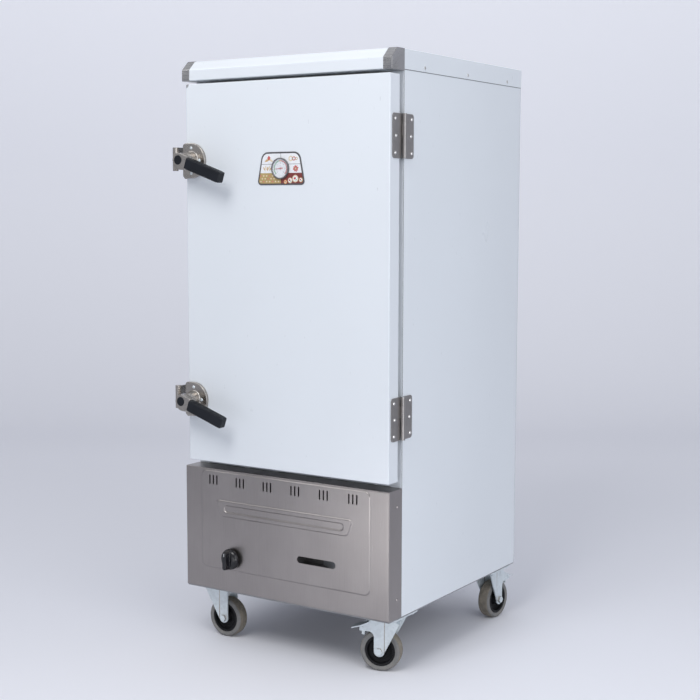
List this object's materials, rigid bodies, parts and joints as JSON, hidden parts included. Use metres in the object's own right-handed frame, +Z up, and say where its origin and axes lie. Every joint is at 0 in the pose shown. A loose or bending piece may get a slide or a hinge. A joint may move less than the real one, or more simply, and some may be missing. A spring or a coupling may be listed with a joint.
{
  "type": "rice steamer cabinet",
  "caption": "Upright insulated steam cabinet for rice trays with one hinged door, lever latches, dial thermometer, gas burner bay and swivel casters with brakes.",
  "frame": {"origin": "centre of the whole object's footprint, on the floor", "axes": "+Z up, -Y towards the door side, +X towards the hinges"},
  "size_m": [0.6274, 0.7726, 1.4508],
  "materials": {
    "cabinet_sheet": "satin light grey-blue coated sheet",
    "door_sheet": "satin cool white coated sheet",
    "bright_steel": "bright folded stainless sheet",
    "panel_steel": "brushed stainless sheet with a vertical grain",
    "chamber_steel": "plain stainless sheet",
    "zinc_steel": "bright zinc plate",
    "latch_metal": "satin nickel plate",
    "frame_paint": "black paint",
    "burner_iron": "rough cast iron",
    "pipe_brass": "drawn brass",
    "lagging": "mineral wool",
    "seal_rubber": "moulded silicone",
    "grip_plastic": "ribbed moulded plastic",
    "knob_plastic": "glossy moulded plastic",
    "core_plastic": "moulded plastic",
    "tyre_rubber": "grey rubber tread",
    "plaque_print": null,
    "dial_case": "polished bezel round a printed dial",
    "dial_glass": "clear glass",
    "pointer_red": "red enamel"
  },
  "bodies": {
    "cabinet": {"back_panel": "cabinet_sheet", "base_frame": "frame_paint", "burner": "burner_iron", "burner_panel": "panel_steel", "cabinet_lagging": "lagging", "cabinet_screws": "zinc_steel", "canopy": "door_sheet", "canopy_caps": "bright_steel", "caster_bolts": "zinc_steel", "caster_plates": "zinc_steel", "chamber_liner": "chamber_steel", "drain_valve": "pipe_brass", "gas_line": "pipe_brass", "gas_valve": "pipe_brass", "hinge_frame_leaves": "latch_metal", "hinge_pins": "zinc_steel", "latch_keepers": "latch_metal", "rice_trays_lower": "chamber_steel", "rice_trays_upper": "chamber_steel", "side_panel_left": "cabinet_sheet", "side_panel_right": "cabinet_sheet", "steam_vent": "chamber_steel", "top_cover": "cabinet_sheet", "tray_rack_left": "chamber_steel", "tray_rack_right": "chamber_steel", "water_inlet": "pipe_brass", "water_tank": "chamber_steel"},
    "door": {"door_skin": "door_sheet", "door_liner": "chamber_steel", "door_lagging": "lagging", "door_gasket": "seal_rubber", "hinge_door_leaves": "latch_metal", "latch_bases": "latch_metal", "door_screws": "zinc_steel", "thermometer_plaque": "plaque_print", "thermometer_case": "dial_case", "thermometer_lens": "dial_glass"},
    "thermometer_needle": {"thermometer_pointer": "pointer_red"},
    "upper_latch": {"latch_lever_upper": "latch_metal", "latch_grip_upper": "grip_plastic"},
    "lower_latch": {"latch_lever_lower": "latch_metal", "latch_grip_lower": "grip_plastic"},
    "valve_spindle": {"valve_stem": "pipe_brass"},
    "knob": {"gas_knob": "knob_plastic"},
    "drain_handle": {"drain_lever": "zinc_steel"},
    "float": {"float_ball": "chamber_steel"},
    "swivel_front_left": {"caster_fork_front_left": "zinc_steel"},
    "wheel_front_left": {"wheel_core_front_left": "core_plastic", "tyre_front_left": "tyre_rubber"},
    "swivel_front_right": {"caster_fork_front_right": "zinc_steel"},
    "wheel_front_right": {"wheel_core_front_right": "core_plastic", "tyre_front_right": "tyre_rubber"},
    "pedal_front_right": {"brake_pedal_front_right": "core_plastic"},
    "swivel_rear_right": {"caster_fork_rear_right": "zinc_steel"},
    "wheel_rear_right": {"wheel_core_rear_right": "core_plastic", "tyre_rear_right": "tyre_rubber"},
    "pedal_rear_right": {"brake_pedal_rear_right": "core_plastic"},
    "swivel_rear_left": {"caster_fork_rear_left": "zinc_steel"},
    "wheel_rear_left": {"wheel_core_rear_left": "core_plastic", "tyre_rear_left": "tyre_rubber"}
  },
  "joints": [
    {"name": "door_swing", "type": "hinge", "parent": "cabinet", "child": "door", "pos_m": [0.30825, -0.2727, 0.93], "axis": [0, 0, 1], "range_deg": [0, 180]},
    {"name": "upper_latch_turn", "type": "hinge", "parent": "door", "child": "upper_latch", "pos_m": [-0.26075, -0.3647, 1.209], "axis": [0, 1, 0], "range_deg": [0, 62]},
    {"name": "lower_latch_turn", "type": "hinge", "parent": "door", "child": "lower_latch", "pos_m": [-0.26075, -0.3647, 0.622], "axis": [0, 1, 0], "range_deg": [0, 62]},
    {"name": "needle_turn", "type": "hinge", "parent": "door", "child": "thermometer_needle", "pos_m": [0.00425, -0.3267, 1.1865], "axis": [0, 1, 0], "range_deg": [-39, 231]},
    {"name": "gas_push", "type": "slide", "parent": "cabinet", "child": "valve_spindle", "axis": [0, 1, 0], "range_m": [0, 0.004], "stiffness_N_per_m": 400},
    {"name": "gas_turn", "type": "hinge", "parent": "valve_spindle", "child": "knob", "pos_m": [-0.15075, -0.3347, 0.231], "axis": [0, 1, 0], "range_deg": [-180, 0]},
    {"name": "drain_turn", "type": "hinge", "parent": "cabinet", "child": "drain_handle", "pos_m": [0.15225, 0.3523, 0.325], "axis": [0, 0, -1], "range_deg": [0, 90]},
    {"name": "float_rise", "type": "hinge", "parent": "cabinet", "child": "float", "pos_m": [-0.14775, 0.2321, 0.445], "axis": [-1, 0, 0], "range_deg": [0, 25]},
    {"name": "swivel_front_left", "type": "hinge", "parent": "cabinet", "child": "swivel_front_left", "pos_m": [-0.25575, -0.2377, 0.13], "axis": [0, 0, 1], "continuous": true},
    {"name": "roll_front_left", "type": "hinge", "parent": "swivel_front_left", "child": "wheel_front_left", "pos_m": [-0.23075, -0.2377, 0.05], "axis": [0, 1, 0], "continuous": true},
    {"name": "swivel_front_right", "type": "hinge", "parent": "cabinet", "child": "swivel_front_right", "pos_m": [0.26025, -0.2377, 0.13], "axis": [0, 0, 1], "continuous": true},
    {"name": "roll_front_right", "type": "hinge", "parent": "swivel_front_right", "child": "wheel_front_right", "pos_m": [0.2361, -0.24417, 0.05], "axis": [0.2588, -0.9659, 0], "continuous": true},
    {"name": "brake_front_right", "type": "hinge", "parent": "swivel_front_right", "child": "pedal_front_right", "pos_m": [0.1965, -0.25478, 0.104], "axis": [0.2588, -0.9659, 0], "range_deg": [0, 14]},
    {"name": "swivel_rear_right", "type": "hinge", "parent": "cabinet", "child": "swivel_rear_right", "pos_m": [0.26025, 0.2553, 0.13], "axis": [0, 0, 1], "continuous": true},
    {"name": "roll_rear_right", "type": "hinge", "parent": "swivel_rear_right", "child": "wheel_rear_right", "pos_m": [0.26286, 0.28016, 0.05], "axis": [-0.9945, 0.1045, 0], "continuous": true},
    {"name": "brake_rear_right", "type": "hinge", "parent": "swivel_rear_right", "child": "pedal_rear_right", "pos_m": [0.26715, 0.32094, 0.104], "axis": [-0.9945, 0.1045, 0], "range_deg": [0, 14]},
    {"name": "swivel_rear_left", "type": "hinge", "parent": "cabinet", "child": "swivel_rear_left", "pos_m": [-0.25575, 0.2553, 0.13], "axis": [0, 0, 1], "continuous": true},
    {"name": "roll_rear_left", "type": "hinge", "parent": "swivel_rear_left", "child": "wheel_rear_left", "pos_m": [-0.2643, 0.27879, 0.05], "axis": [-0.9397, -0.342, 0], "continuous": true}
  ]
}
